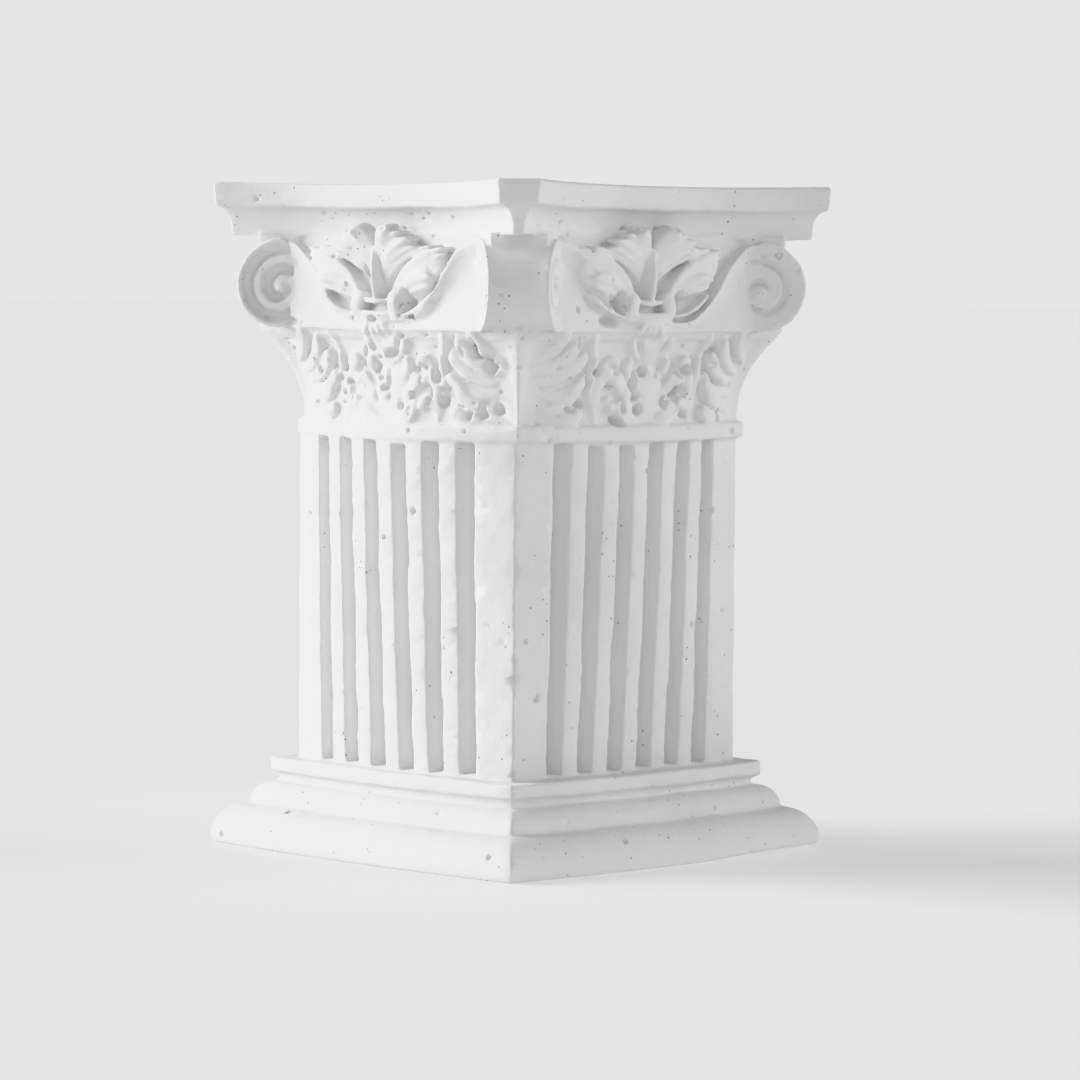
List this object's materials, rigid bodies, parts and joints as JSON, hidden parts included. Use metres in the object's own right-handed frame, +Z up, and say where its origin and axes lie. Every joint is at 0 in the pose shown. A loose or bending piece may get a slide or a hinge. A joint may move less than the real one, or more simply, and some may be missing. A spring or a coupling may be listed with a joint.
{
  "type": "display pedestal",
  "caption": "Small cast plaster display pedestal: moulded square foot, fluted shaft, leafy Corinthian capital with corner scrolls, and a hollow-sided abacus.",
  "frame": {"origin": "middle of the underside", "axes": "+Z up; -Y is the face on the right in the picture and -X the face on the left"},
  "size_m": [0.0702, 0.0702, 0.1],
  "materials": {
    "white_plaster": "matte, dry cast plaster with fine air pits"
  },
  "bodies": {
    "root": {"pedestal": "white_plaster"}
  },
  "joints": []
}
